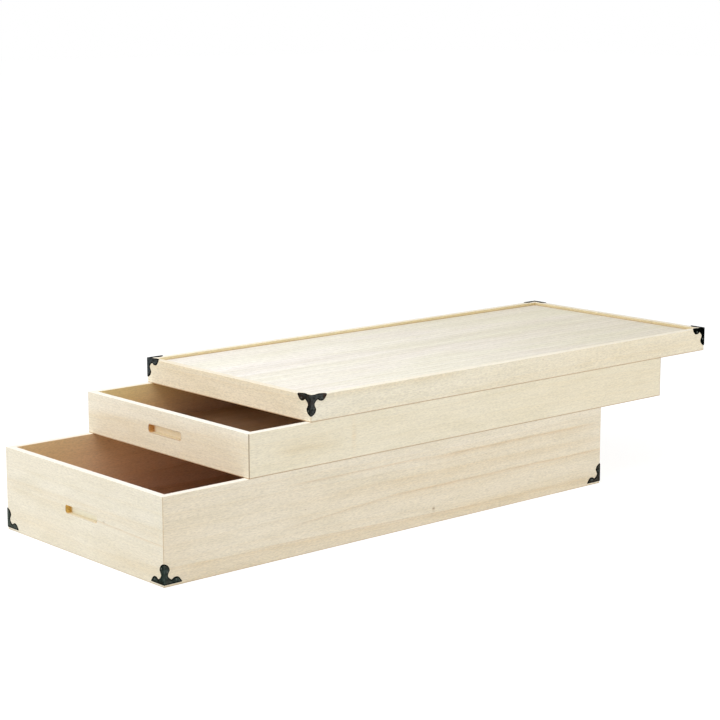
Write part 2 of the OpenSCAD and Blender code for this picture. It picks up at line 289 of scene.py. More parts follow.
def paulownia_group():
    """Straight-grained paulownia glued up from strips: growth rings, fibres, pores and flecks.
    Vector runs along the grain, across the face and through the board."""
    tree, given = new_group("paulownia_grain", (
        "Strip Width", "Seed", "Ring Spacing", "Ring Strength", "Cloudiness", "Strip Contrast",
        "Fleck"), ("Tan", "Base"))
    along, across, through = split(tree, given["Vector"])
    seed, width = given["Seed"], given["Strip Width"]
    shift = put(tree, "ShaderNodeCombineXYZ", {0: seed, 1: seed, 2: seed})
    moved = put(tree, "ShaderNodeVectorMath", {0: given["Vector"], 1: shift}, operation="ADD")

    place = calc("DIVIDE", tree, across, width)
    strip = calc("FLOOR", tree, place)
    own = scaled(tree, seed, 13.0, strip)
    first, second, third = chance(tree, own)
    local = times(tree, minus(tree, place, strip), width)

    # Distance from the heart of the tree, which lies outside the strip and leans a little
    lean = times(tree, along, scaled(tree, second, *HEART_LEAN))
    heart = scaled(tree, first, *HEART_SIDEWAYS)
    sideways = plus(tree, minus(tree, local, heart), lean)
    deep = plus(tree, through, scaled(tree, third, *HEART_DEEP))
    waver = stretched_noise(tree, moved, WAVER)
    radius = scaled(tree, waver, RING_WAVER, length_of(tree, sideways, deep))
    rings = calc("DIVIDE", tree, radius, given["Ring Spacing"])
    ring = calc("FLOOR", tree, rings)
    growth = minus(tree, rings, ring)
    late = calc("POWER", tree, growth, LATE_POWER)
    late = times(tree, late, step(tree, growth, 1.0, LATE_END))
    ring_tone = chance(tree, plus(tree, ring, own))[0]

    fibre = stretched_noise(tree, moved, FIBRES, 3.0, 0.6)
    fleck = stretched_noise(tree, moved, FLECKS, 2.0, 0.6)
    pores = step(tree, stretched_noise(tree, moved, PORES, 1.0), *PORE_EDGE)
    cloud = stretched_noise(tree, moved, CLOUDS, 3.0, 0.6)
    grey_cloud = stretched_noise(tree, moved, GREY_CLOUDS, 3.0, 0.6)

    # How tan the wood is: rings, strips and clouds
    uneven = sway(tree, ring_tone, RING_VARIETY, late)
    share = scaled(tree, uneven, given["Ring Strength"], TAN_SHARE)
    share = sway(tree, cloud, given["Cloudiness"], share)
    share = sway(tree, second, given["Strip Contrast"], share, clamp=True)
    colour = tint(tree, share, WHITE, given["Tan"])
    grey = step(tree, grey_cloud, *GREY_EDGE, 0.0, GREY_SHARE)
    colour = tint(tree, grey, colour, GREY_CAST, "MULTIPLY")
    colour = tint(tree, 1.0, colour, given["Base"], "MULTIPLY")
    shade = sway(tree, fibre, FIBRE_SHADE, 1.0)
    shade = sway(tree, fleck, given["Fleck"], shade)
    shade = times(tree, shade, scaled(tree, pores, PORE_SHADE, WOOD_SHADE))
    colour = shaded(tree, colour, shade)

    rough = scaled(tree, fibre, FIBRE_ROUGH, WOOD_ROUGH)
    rough = scaled(tree, pores, PORE_ROUGH, rough)
    height = scaled(tree, pores, PORE_RELIEF, fibre)
    height = scaled(tree, late, LATE_RELIEF, height)
    return finish_group(tree, {"Color": colour, "Roughness": rough, "Height": height})


def streak_group():
    """Mask of one streak in the grain: a line at a height that may slope, soft above and below."""
    tree, given = new_group("grain_streak", (
        "Start", "End", "Fade", "Height", "Slope", "Above", "Below", "Strength", "Before"))
    along, across, _ = split(tree, given["Vector"])
    past = minus(tree, along, given["Start"])
    waver = stretched_noise(tree, given["Vector"], STREAK_WAVES, 3.0, 0.6)
    line = scaled(tree, past, given["Slope"], given["Height"])
    line = sway(tree, waver, STREAK_WAVER, line)
    over = minus(tree, across, line)
    under = times(tree, over, -1.0)
    upper = calc("DIVIDE", tree, calc("MAXIMUM", tree, over, 0.0), given["Above"])
    lower = calc("DIVIDE", tree, calc("MAXIMUM", tree, under, 0.0), given["Below"])
    fall = times(tree, plus(tree, upper, lower), -1.0)
    body = calc("POWER", tree, math.e, fall)
    left = minus(tree, given["End"], along)
    before = times(tree, given["Fade"], -1.0)
    first, last = (step(tree, gone, before, given["Fade"]) for gone in (past, left))
    patchy = stretched_noise(tree, given["Vector"], STREAK_PATCHES, 3.0, 0.6)
    shown = times(tree, times(tree, first, last), body)
    shown = times(tree, shown, scaled(tree, patchy, *PATCHINESS))
    total = scaled(tree, shown, given["Strength"], given["Before"])
    return finish_group(tree, {"Mask": total})


def edges_group():
    """Masks of a tier's boards: mitred corner, rim (a painted highlight), foot (a painted shadow),
    inner face with painted shade deeper in, and the finger pull, its ends and its edge, in painted
    light and shade. Vector is measured from the middle of the tier's underside."""
    tree, given = new_group(
        "board_places", ("Half Length", "Half Width", "Board Height", "Pull Level"))
    x, y, z = split(tree, given["Vector"])
    sideways = calc("ABSOLUTE", tree, y)
    from_end = minus(tree, given["Half Length"], calc("ABSOLUTE", tree, x))
    from_side = minus(tree, given["Half Width"], sideways)
    nearest = calc("MAXIMUM", tree, from_end, from_side)
    depth = calc("MINIMUM", tree, from_end, from_side)
    inner = step(tree, depth, *INNER_EDGE)
    from_front = plus(tree, x, given["Half Length"])
    shade = step(tree, from_front, 0.0, SHADE_REACH, 0.0, SHADE_ALONG)
    down = step(tree, z, given["Board Height"], 0.0)

    # Distance outside the rounded outline of the finger pull
    beside = calc("MAXIMUM", tree, minus(tree, sideways, PULL_HALF_L - PULL_R), 0.0)
    over = minus(tree, z, given["Pull Level"])
    level = calc("ABSOLUTE", tree, over)
    beyond = calc("MAXIMUM", tree, minus(tree, level, PULL_HALF_H - PULL_R), 0.0)
    away = minus(tree, length_of(tree, beside, beyond), PULL_R)
    sunk = times(tree, step(tree, depth, *PULL_MOUTH), step(tree, depth, *PULL_BACK))
    edge = step(tree, calc("ABSOLUTE", tree, away), *PULL_EDGE)
    return finish_group(tree, {
        "Corner": step(tree, nearest, *CORNER_EDGE),
        "Rim Highlight": step(tree, minus(tree, given["Board Height"], z), *RIM_EDGE),
        "Foot": step(tree, z, *FOOT_EDGE),
        "Inner": inner,
        "Painted Deep Shade": scaled(tree, down, SHADE_DOWN, shade),
        "Above Panel": times(tree, inner, step(tree, z, *PANEL_EDGE)),
        "Pull": times(tree, step(tree, away, *PULL_SIDE), sunk),
        "Pull Low": step(tree, over, *PULL_LOW),
        "Pull Lip": step(tree, over, *PULL_LIP),
        "Pull End": step(tree, sideways, *PULL_END),
        "Pull Edge": times(tree, step(tree, depth, *PULL_FRONT), edge)})


PAULOWNIA = paulownia_group()
STREAK = streak_group()
PLACES = edges_group()

# Tones of the places on a board
CORNER_TAN = paint("#c5a26c")
CORNER_BROWN = paint("#8c6c48")
# Painted shadow at the foot of a tier's boards
FOOT_PAINTED_SHADOW = paint("#ae7c30")
# Painted shade on the upper face of a tier's floor
FLOOR_PAINTED_SHADE = paint("#efd8ce")
# Painted shade on the inner faces of the bottom box and the tray: golden where the inside is open,
# browner further back and lower down
INSIDE_DEEP_PAINTED_SHADE = {"bottom": paint("#ffe3e6"), "tray": paint("#eacecf")}
INSIDE_OPEN_PAINTED_SHADE = {"bottom": paint("#fce8c4"), "tray": paint("#f8ecc2")}
# Finger pull's recess, in painted light and shade: its back low down and high up (painted pale),
# its lower wall (shade), its ends (end grain and shade) and its edge (shadow)
PULL_PAINTED_LIGHT_AND_SHADE = {
    "bottom": [paint(p) for p in ("#fffce8", "#fffdf5", "#e9d5b2", "#e9bd54", "#a87844")],
    "tray": [paint(p) for p in ("#fae9ca", "#fdf4d6", "#e5d8b8", "#dfa758", "#a87844")],
}
KNOT_BROWN = paint("#8a6418")
# Painted shade on the inner faces of the lid's boards
LID_INSIDE_PAINTED_SHADE = paint("#ece4ca")
# Painted shadow where the lid's panel meets its rim
PANEL_SEAM_PAINTED_SHADOW = paint("#c49a5c")
# Casts of the lid's panel: two that take turns, and a painted shade that grows towards the back
PANEL_TONES, PANEL_BACK_PAINTED_SHADE = (paint("#fcfaf0"), paint("#fcf8f4")), paint("#f0ede3")
# The iron's rounded border and its fold over the rim are painted in shade
IRON_BORDER_PAINTED_SHADE, RUST, NAIL_TONES = paint("#070908"), paint("#36271f"), ("#343a37", "#505652")
# Where patches of colour begin and end in a noise
PATCH_EDGE, RUST_EDGE = (0.35, 0.65), (0.45, 0.65)
# Iron: fineness of its noises per metre, its roughness over a noise, and its relief as strength
# and depth
IRON_CLOUDS, RUST_SPOTS, NAIL_CLOUDS = [190.0] * 3, [75.0] * 3, [700.0] * 3
IRON_ROUGH, NAIL_ROUGH, IRON_RELIEF = (0.3, 0.75, 0.36, 0.5), 0.38, (0.3, 0.15 * MM)
# Shares that the finger pulls' recesses, in painted light and shade, and the painted shadow at the
# panel's seam take of their tones
RECESS_SHARE, SEAM_ON_RIM, SEAM_ON_PANEL = 0.9, 0.8, 0.6
# Gloss of the wood and its relief, and how high in a tier its floor takes its painted shade
WOOD_GLOSS, WOOD_RELIEF, FLOOR_EDGE = 0.35, (0.25, 0.2 * MM), (1 * MM, 4 * MM)

# How much of its tone each tier's mitred corners, rim (painted highlight), foot (painted shadow)
# and finger pull's edge (painted shadow) take
SHARES = {
    "bottom": (0.4, 0.5, 0.3, 0.15), "tray": (0.85, 0.5, 0.6, 0.5), "lid": (0.4, 0.2, 0.6, 0)}

FLOOR_SEEDS = {"bottom": 8.2, "tray": 10.6}

# Directions of the grain: along it, across the face, and through the board
GRAIN = {
    "side": Matrix(((1, 0, 0), (0, 0, 1), (0, -1, 0))),
    "end": Matrix(((0, 1, 0), (0, 0, 1), (1, 0, 0))),
    "panel": Matrix(((1, 0, 0), (0, 1, 0), (0, 0, 1))),
    "keys": Matrix(((0, 0, 1), (1, 0, 0), (0, 1, 0))),
}

# Looks of the boards, with rows for the streaks and knots seen in the photograph: what a row
# holds is said under streaks. On the ends the grain runs from the near to the far corner.
# Base tones differ from board to board, partly for the wood's own tone and partly as painted light
# and shade for how light falls on each face
BOARDS = {
    "bottom_side": dict(
        base="#faf3e4", seed=1.3, strip=0.32, spacing=11, rings=0.15, fleck=0.52,
        bands=[(-460, 110, 60, 27, -0.026, 0.8, 22, 0.45), (110, 470, 60, 14, 0, 4, 20, 0.6),
               (60, 430, 60, 108, 0, 1.5, 8, 0.5), (-120, 470, 160, 84, -0.004, 3, 16, 0.42),
               (-20, 470, 40, 60.5, 0, 2, 8, 0.3), (-700, -390, 60, 66, 0, 60, 60, 0.22)],
        lines=[(-300, 160, 60, 26, -0.027, 0.6, 1.8, 0.4), (-210, 50, 40, 110, 0, 0.7, 1.8, 0.4),
               (60, 420, 60, 107, 0, 0.8, 3.2, 0.28), (-210, -20, 50, 48, 0.065, 0.7, 2.2, 0.32),
               (-20, 470, 40, 60.5, 0, 0.7, 2.8, 0.34)],
        knots=[(63, 68, 1.5, 24, 0, 1.8, 2.2, 0.7), (-199, -196, 1.5, 68, 0, 0.8, 0.8, 0.5)]),
    "bottom_end": dict(
        base="#f6f2e5", seed=2.6, strip=0.16, spacing=10, rings=0.15,
        bands=[(-215, 215, 10, 82, 0, 3, 14, 0.3), (30, 215, 60, 32, 0, 8, 22, 0.22),
               (-400, -70, 80, 16, 0, 26, 20, 0.42)],
        lines=[(-215, -30, 15, 60, 0.026, 0.5, 1.2, 0.4)],
        knots=[(-62, -57, 2, 66, 0, 0.8, 0.8, 0.4)]),
    "tray_side": dict(
        base="#fdf8e7", seed=3.2, strip=0.27, spacing=13, rings=0.12, fleck=0.43,
        bands=[(-400, -300, 40, 30, 0, 12, 10, 0.4), (200, 700, 220, 30, 0, 60, 60, 0.22)],
        lines=[(-258, -253, 6, 36, 0, 14, 16, 0.4)]),
    "tray_end": dict(
        base="#fdfbf1", seed=5.7, strip=0.38, spacing=12, rings=0.12,
        bands=[(-215, 215, 10, 52, -0.04, 5, 90, 0.38)]),
    "lid_side": dict(
        base="#fffbed", seed=6.4, strip=0.26, spacing=12, rings=0.15, clouds=0.45, fleck=0.6,
        bands=[(-430, -160, 30, 37, 0, 3, 6, 0.35), (60, 700, 380, 20, 0, 60, 60, 0.42)],
        knots=[(39, 42, 1.5, 34, 0, 0.9, 0.9, 0.5)]),
    "lid_end": dict(
        base="#f9f5e6", seed=7.9, strip=0.5, spacing=12, rings=0.2, fleck=0.66,
        bands=[(-215, 215, 10, 40, 0, 1, 9, 0.4)]),
}


def new_material(name):
    """Material with an empty Principled shader, and where the piece is in its own coordinates."""
    material = bpy.data.materials.new(name)
    material.use_nodes = True
    tree = material.node_tree
    shader = tree.nodes["Principled BSDF"]
    spot = tree.nodes.new("ShaderNodeTexCoord").outputs["Object"]
    return material, tree, shader, spot


def relief(tree, height, strength, depth):
    """Relief in a surface."""
    return put(tree, "ShaderNodeBump", {"Strength": strength, "Distance": depth, "Height": height})


class Wood:
    """A wood's material in the making, with the grain laid and ready for further tones."""

    def __init__(self, name, tier, kind, base, seed, strip, spacing, rings, clouds,
                 contrast=0.3, fleck=0.45, tan=TAN_CAST):
        """Lays the grain: its strips' width in metres, its rings' spacing in millimetres."""
        self.material, self.tree, self.shader, self.spot = new_material(name)
        self.vector = self.turned(tier, kind)
        self.grain = place_group(self.tree, PAULOWNIA, {
            "Vector": self.vector, "Strip Width": strip, "Seed": seed,
            "Ring Spacing": spacing * MM, "Ring Strength": rings, "Cloudiness": clouds,
            "Strip Contrast": contrast, "Fleck": fleck, "Tan": tan, "Base": paint(base)})
        self.colour = self.grain["Color"]

    def turned(self, tier, kind):
        """Coordinates from a tier's centre, turned to the grain of this kind of piece."""
        turn = GRAIN[kind]
        return put(self.tree, "ShaderNodeMapping", {
            "Vector": self.spot, "Location": -(turn @ tier.centre), "Rotation": turn.to_euler()})

    def mix(self, share, tone, blend="MIX"):
        """Mixes a tone into the colour."""
        self.colour = tint(self.tree, share, self.colour, tone, blend)

    def finish(self):
        """Feeds colour, roughness and relief to the shader."""
        feed(self.tree, self.shader, {
            "Base Color": self.colour, "Roughness": self.grain["Roughness"],
            "Specular IOR Level": WOOD_GLOSS,
            "Normal": relief(self.tree, self.grain["Height"], *WOOD_RELIEF)})
        return self.material


def streaks(tree, vector, rows):
    """Sum of streak masks. A row is start, end, fade, height, slope, above, below and strength,
    with lengths in millimetres from the middle of the board's foot."""
    total = 0.0
    for start, stop, fade, height, slope, above, below, strength in rows:
        total = place_group(tree, STREAK, {
            "Vector": vector, "Start": start * MM, "End": stop * MM, "Fade": fade * MM,
            "Height": height * MM, "Slope": slope, "Above": above * MM, "Below": below * MM,
            "Strength": strength, "Before": total})["Mask"]
    return total


def board_wood(place, kind, base, seed, strip, spacing, rings, clouds=0.3, fleck=0.45,
               bands=(), lines=(), knots=()):
    """Paulownia of a tier's side boards or end boards."""
    tier = TIERS[place]
    wood = Wood(f"{place}_{kind}_paulownia", tier, kind, base, seed, strip, spacing, rings,
                clouds, fleck=fleck)
    tree = wood.tree
    places = place_group(tree, PLACES, {
        "Vector": wood.turned(tier, "panel"), "Half Length": tier.half_l,
        "Half Width": tier.half_w, "Board Height": tier.height, "Pull Level": tier.pull_level})
    for rows, tone, blend in ((bands, STREAK_CAST, "MULTIPLY"), (lines, LINE_CAST, "MULTIPLY"),
                              (knots, KNOT_BROWN, "MIX")):
        if rows:
            wood.mix(streaks(tree, wood.vector, rows), tone, blend)
    corner, rim, foot, pull_edge = SHARES[place]
    wood.mix(times(tree, places["Corner"], corner), CORNER_BROWN if place == "tray" else CORNER_TAN)
    # Rims painted whiter: mostly a painted highlight, partly their paler edge
    wood.mix(times(tree, places["Rim Highlight"], rim), WHITE)
    # Painted shadow along the foot of the boards, in the seam between tiers and where the box
    # stands
    wood.mix(times(tree, places["Foot"], foot), FOOT_PAINTED_SHADOW)
    if place == "lid":
        # Painted shade on the lid's inner faces
        wood.mix(places["Inner"], LID_INSIDE_PAINTED_SHADE, "MULTIPLY")
        # Painted shadow along the foot of the rim's inner wall, just above the panel
        wood.mix(times(tree, places["Above Panel"], SEAM_ON_RIM), PANEL_SEAM_PAINTED_SHADOW)
    else:
        # Painted shade on the inner faces, browner further back and lower down
        shade = tint(tree, places["Painted Deep Shade"], INSIDE_OPEN_PAINTED_SHADE[place], INSIDE_DEEP_PAINTED_SHADE[place])
        wood.mix(places["Inner"], shade, "MULTIPLY")
        # Painted light and shade in the finger pull's recess: a pale back against its shade, a
        # shaded lower wall, ends darker for end grain and shade, and a shadowed edge
        low_back_painted_light, high_back_painted_light, lip_painted_shade, end_grain_and_shade, edge_painted_shadow = PULL_PAINTED_LIGHT_AND_SHADE[place]
        recess = tint(tree, places["Pull Low"], high_back_painted_light, low_back_painted_light)
        recess = tint(tree, places["Pull Lip"], recess, lip_painted_shade)
        recess = tint(tree, places["Pull End"], recess, end_grain_and_shade)
        wood.mix(times(tree, places["Pull"], RECESS_SHARE), recess)
        wood.mix(times(tree, places["Pull Edge"], pull_edge), edge_painted_shadow)
    return wood.finish()


def lid_panel_wood():
    """The lid's top panel: strips with fine straight rings, in painted shadow where it meets the
    rim and in painted shade towards the back.
    """
    tier = TIERS["lid"]
    wood = Wood("lid_panel_paulownia", tier, "panel", "#fefdfb", seed=4.1, strip=67 * MM,
                spacing=11, rings=0.9, clouds=0.4, fleck=0.6, tan=PANEL_CAST)
    tree = wood.tree
    hue = stretched_noise(tree, wood.vector, PANEL_HUES)
    wood.mix(1.0, tint(tree, step(tree, hue, *PATCH_EDGE), *PANEL_TONES), "MULTIPLY")
    x, y, _ = split(tree, wood.vector)
    # Painted shade, growing towards the back of the panel
    wood.mix(step(tree, x, -tier.half_l, tier.half_l), PANEL_BACK_PAINTED_SHADE, "MULTIPLY")
    speckle = stretched_noise(tree, wood.vector, PANEL_SPECKLES, 2.0, 0.7)
    wood.colour = shaded(tree, wood.colour, sway(tree, speckle, SPECKLE_SHADE, 1.0))
    # Painted shadow along the panel's edge by the rim
    from_end = minus(tree, tier.half_l - BOARD, calc("ABSOLUTE", tree, x))
    from_side = minus(tree, tier.half_w - BOARD, calc("ABSOLUTE", tree, y))
    seam = step(tree, calc("MINIMUM", tree, from_end, from_side), *SEAM_EDGE)
    wood.mix(times(tree, seam, SEAM_ON_PANEL), PANEL_SEAM_PAINTED_SHADOW)
    return wood.finish()


def floor_wood(place, seed):
    """Floor boards of a tier, in painted brown shade on their upper face, paler on the underside.
    """
    wood = Wood(f"{place}_floor_wood", TIERS[place], "panel", "#f0e4cc", seed, strip=68 * MM,
                spacing=7, rings=0.8, clouds=0.8, contrast=0.6)
    height = split(wood.tree, wood.vector)[2]
    wood.mix(step(wood.tree, height, *FLOOR_EDGE), FLOOR_PAINTED_SHADE, "MULTIPLY")
    return wood.finish()


def key_wood(place):
    """Wood of the hidden keys in a tier's mitres, with upright grain."""
    wood = Wood(f"{place}_key_wood", TIERS[place], "keys", "#dcc9a2", seed=9.3, strip=0.4,
                spacing=3, rings=0.7, clouds=0.5)
    return wood.finish()


def black_iron(name, dull, worn, brown):
    """Blackened iron of the fittings: painted shade on the rounded border, uneven within."""
    material, tree, shader, spot = new_material(name)
    cloud = stretched_noise(tree, spot, IRON_CLOUDS, 4.0, 0.6)
    rust = stretched_noise(tree, spot, RUST_SPOTS)
    field = put(tree, "ShaderNodeAttribute", attribute_name="field").outputs["Fac"]
    colour = tint(tree, step(tree, cloud, *PATCH_EDGE), paint(dull), paint(worn))
    colour = tint(tree, step(tree, rust, *RUST_EDGE, 0.0, brown), colour, RUST)
    feed(tree, shader, {
        "Base Color": tint(tree, field, IRON_BORDER_PAINTED_SHADE, colour),
        "Roughness": step(tree, cloud, *IRON_ROUGH), "Metallic": 1.0,
        "Specular Tint": BLACK, "Normal": relief(tree, cloud, *IRON_RELIEF)})
    return material


def nail_iron():
    """Iron of the nails, a little brighter than the fittings."""
    material, tree, shader, spot = new_material("black_iron_nails")
    cloud = stretched_noise(tree, spot, NAIL_CLOUDS)
    colour = tint(tree, step(tree, cloud, *PATCH_EDGE), *map(paint, NAIL_TONES))
    feed(tree, shader, {"Base Color": colour, "Metallic": 1.0, "Roughness": NAIL_ROUGH})
    return material


def dress_boards(irons):
    """Gives every CAD node its finish."""
    woods = {name: board_wood(*name.split("_"), **look) for name, look in BOARDS.items()}
    woods["lid_panel"] = lid_panel_wood()
    for place, seed in FLOOR_SEEDS.items():
        woods[f"{place}_floor"] = floor_wood(place, seed)
    for place in TIERS:
        woods[f"{place}_keys"] = key_wood(place)
    for name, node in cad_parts.items():
        place, *_, kind = name.split("_")
        node.data.materials.clear()
        node.data.materials.append(irons[place] if "fitting" in name else woods[f"{place}_{kind}"])


# Iron fittings

# Directions that a fitting's faces and its fold look in
NEAR, FRONT, DOWN = Vector((0, -1, 0)), Vector((-1, 0, 0)), Vector((0, 0, -1))
# A tier's corners, as whether they are at the back and whether at the far side
CORNERS = (0, 0), (0, 1), (1, 0), (1, 1)


def smooth_line(points, after):
    """Smooth curve through guide points, heading for one more point after the last."""
    p = [Vector(q) for q in points]
    line = []
    for i in range(len(p) - 1):
        a, b, c = p[max(i - 1, 0)], p[i], p[i + 1]
        d = p[i + 2] if i + 2 < len(p) else Vector(after)
        for k in range(CURVE_STEPS):
            t = k / CURVE_STEPS
            line.append((2 * b + (c - a) * t + (2 * a - 5 * b + 4 * c - d) * t * t
                         + (3 * b - a - 3 * c + d) * t * t * t) / 2)
    return line


def evenly(start, stop):
    """Points on a straight line, evenly spaced, without the last."""
    start, stop = Vector(start), Vector(stop)
    count = max(1, round((stop - start).length / IRON_GRID))
    return [start.lerp(stop, i / count) for i in range(count)]


def face_outline():
    """A fitting's face, in three stretches: straight edge, free outline and upright bend."""
    rounding = []
    for i in range(TIP_STEPS + 1):
        a = math.radians(90 * i / TIP_STEPS)
        out = LEAF_W * max(math.cos(a), 0.0) ** LEAF_POINT
        rounding.append(Vector((out, LEAF_PEAK + (LEAF_L - LEAF_PEAK) * math.sin(a))))
    rounding[-1].x = 0.0
    guide = [(LOBE_L, TIP_W)] + LOBE_GUIDE + [NOTCH, NECK, rounding[0]]
    straight = evenly((0, 0), LOBE_TIP)
    free = [LOBE_TIP] + smooth_line(guide, rounding[2]) + rounding[:-1]
    bend = evenly((0, LEAF_L), (0, 0))
    return straight, free, bend


def fold_outline():
    """One arm of the fold over the rim: its bend, its free outline and its mitre."""
    root = Vector((FOLD_ROOT, FOLD_ROOT))
    guide = [(LOBE_L - TIP_W, TIP_W)] + FOLD_GUIDE + [root]
    bend = evenly((0, 0), LOBE_TIP)
    free = [LOBE_TIP] + smooth_line(guide, root)
    mitre = evenly(root, (0, 0))
    return bend, free, mitre


def pieces_of(line):
    """The short segments of an open line."""
    return list(zip(line[:-1], line[1:]))


def reach(point, segments):
    """Distance from a point to the nearest segment."""
    least = 1.0
    for a, b in segments:
        span = b - a
        t = max(0.0, min(1.0, (point - a).dot(span) / max(span.length_squared, LEAST_SQUARE)))
        least = min(least, (point - a - span * t).length)
    return least


def inside(point, walls):
    """True if a point lies inside the closed outline that the walls make."""
    within = False
    for a, b in walls:
        if (a.y > point.y) != (b.y > point.y):
            if point.x < a.x + (b.x - a.x) * (point.y - a.y) / (b.y - a.y):
                within = not within
    return within


def fill_outline(outline, free_edges):
    """Triangles that fill an outline, with rows of points along its free edges."""
    points = [p.copy() for p in outline]
    walls = pieces_of(outline + outline[:1])
    for a, b in free_edges:
        normal = Vector((a.y - b.y, b.x - a.x)).normalized()
        for share in BORDER_ROWS:
            row = share * IRON_BORDER
            for sign in (-1, 1):
                spot = (a + b) / 2 + normal * row * sign
                if inside(spot, walls) and reach(spot, free_edges) > ROW_ROOM * row:
                    points.append(spot)
    (low_x, high_x), (low_y, high_y) = ((min(axis), max(axis)) for axis in zip(*outline))
    for i in range(int((high_x - low_x) / IRON_GRID) + 1):
        for j in range(int((high_y - low_y) / IRON_GRID) + 1):
            spot = Vector((low_x + (i + 0.5 * (j % 2)) * IRON_GRID, low_y + j * IRON_GRID))
            clear = reach(spot, free_edges) > BORDER_ROOM * IRON_BORDER
            if clear and inside(spot, walls) and reach(spot, walls) > GRID_ROOM * IRON_GRID:
                points.append(spot)
    order = list(range(len(outline)))
    result = geometry.delaunay_2d_cdt(points, pieces_of(order + [0]), [order], 1, LEAST_GAP)
    return result[0], result[2]


@functools.cache
def fitting_plan(folded):
    """A fitting laid flat: its face and one arm of its fold, and all its free edges."""
    straight, free, bend = face_outline()
    cut = pieces_of(free + [Vector((0, LEAF_L))])
    if not folded:
        cut += pieces_of(straight + [free[0]])
        return straight, bend, cut, stretch_plan(straight + free + bend, cut, cut), None
    rim, arm_free, mitre = (flipped(line) for line in fold_outline())
    arm_cut = pieces_of(arm_free + [mitre[0]])
    all_free = cut + arm_cut
    face = stretch_plan(straight + free + bend, cut, all_free)
    arm = stretch_plan(rim + arm_free + mitre, arm_cut, all_free)
    return straight, bend, all_free, face, arm


def flipped(line):
    """A line mirrored to the other side of the bend."""
    return [Vector((p.x, -p.y)) for p in line]


def stretch_plan(outline, cut, all_free):
    """Points of one flat stretch with their distance from a free edge, triangles and cut edges."""
    spots, triangles = fill_outline(outline, cut)
    return [(s, reach(s, all_free)) for s in spots], triangles, cut


def field_at(away):
    """0 on the border of the iron, which is painted in shade, and 1 on the field within it."""
    share = min(max((away - IRON_RIM) / IRON_RIM_FADE, 0.0), 1.0)
    return share * share * (3 - 2 * share)


def iron_vert(mesh, place, field=0.0):
    """Vertex that keeps its place between border and field."""
    vert = mesh.verts.new(place)
    vert[mesh.verts.layers.float["field"]] = field
    return vert


def iron_thickness(spot, away, nails, salt):
    """Thickness of the pressed iron at a spot: a rounded border, a low crown, dents and dimples."""
    border = min(away / IRON_BORDER, 1.0)
    rounded = math.sqrt(max(0.0, 1 - (1 - border) ** 2))
    crown = min(away / IRON_CROWN_REACH, 1.0)
    thick = IRON_EDGE + (IRON_FACE - IRON_EDGE) * rounded + IRON_CROWN * crown * (2 - crown)
    dent = noise.noise(Vector((spot.x, spot.y, 0)) / IRON_DENT_SIZE + Vector((0, 0, salt)))
    thick += min(dent, 0.0) * IRON_DENT * border
    for nail in nails:
        near = min((spot - Vector(nail)).length / DIMPLE_R, 1.0)
        thick -= DIMPLE_DEPTH * (1 - near * near * (3 - 2 * near)) * border
    return thick


def quarter_turn(first, second):
    """Directions from one to another at right angles to it."""
    turns = [k / BEND_STEPS * math.pi / 2 for k in range(BEND_STEPS + 1)]
    return [first * math.cos(a) + second * math.sin(a) for a in turns]


def join_rows(mesh, rows):
    """Faces between rows of vertices."""
    for one, other in zip(rows, rows[1:]):
        for k in range(len(one) - 1):
            mesh.faces.new((one[k], one[k + 1], other[k + 1], other[k]))


def bend_strip(mesh, line, centre_of, first, second):
    """Round outside of a bend: arcs between two directions about a line of centres."""
    arcs = [[iron_vert(mesh, centre_of(spot) + way * thick, field)
             for way in quarter_turn(first, second)] for spot, thick, field in line]
    join_rows(mesh, arcs)
    return arcs


def end_cap(mesh, centre, arc):
    """Closes the end of a bend."""
    middle = iron_vert(mesh, centre)
    copies = [iron_vert(mesh, v.co) for v in arc]
    for one, other in zip(copies, copies[1:]):
        mesh.faces.new((middle, one, other))


def corner_cap(mesh, thick, field):
    """Round outside where three bends meet."""
    fans = [quarter_turn(DOWN, way) for way in quarter_turn(NEAR, FRONT)]
    join_rows(mesh, [[iron_vert(mesh, way * thick, field) for way in row] for row in zip(*fans)])


def iron_sheet(mesh, plan, to_space, out, nails, salt):
    """Back, front and cut edge of one flat stretch of a fitting."""
    spots, triangles, cut = plan
    back = [iron_vert(mesh, to_space(spot)) for spot, _ in spots]
    front = []
    for spot, away in spots:
        lift = iron_thickness(spot, away, nails, salt)
        # The fold over the rim is painted all over in the border's shade
        field = field_at(away) if out.z == 0 else 0.0
        front.append(iron_vert(mesh, to_space(spot) + out * lift, field))
    for a, b, c in triangles:
        mesh.faces.new((back[a], back[b], back[c]))
        mesh.faces.new((front[a], front[c], front[b]))
    for a, b in cut:
        lifts = [out * iron_thickness(p, 0.0, nails, salt) for p in (a, b)]
        ends = [to_space(p) for p in (a, b)]
        corners = [ends[0], ends[1], ends[1] + lifts[1], ends[0] + lifts[0]]
        mesh.faces.new([iron_vert(mesh, p) for p in corners])


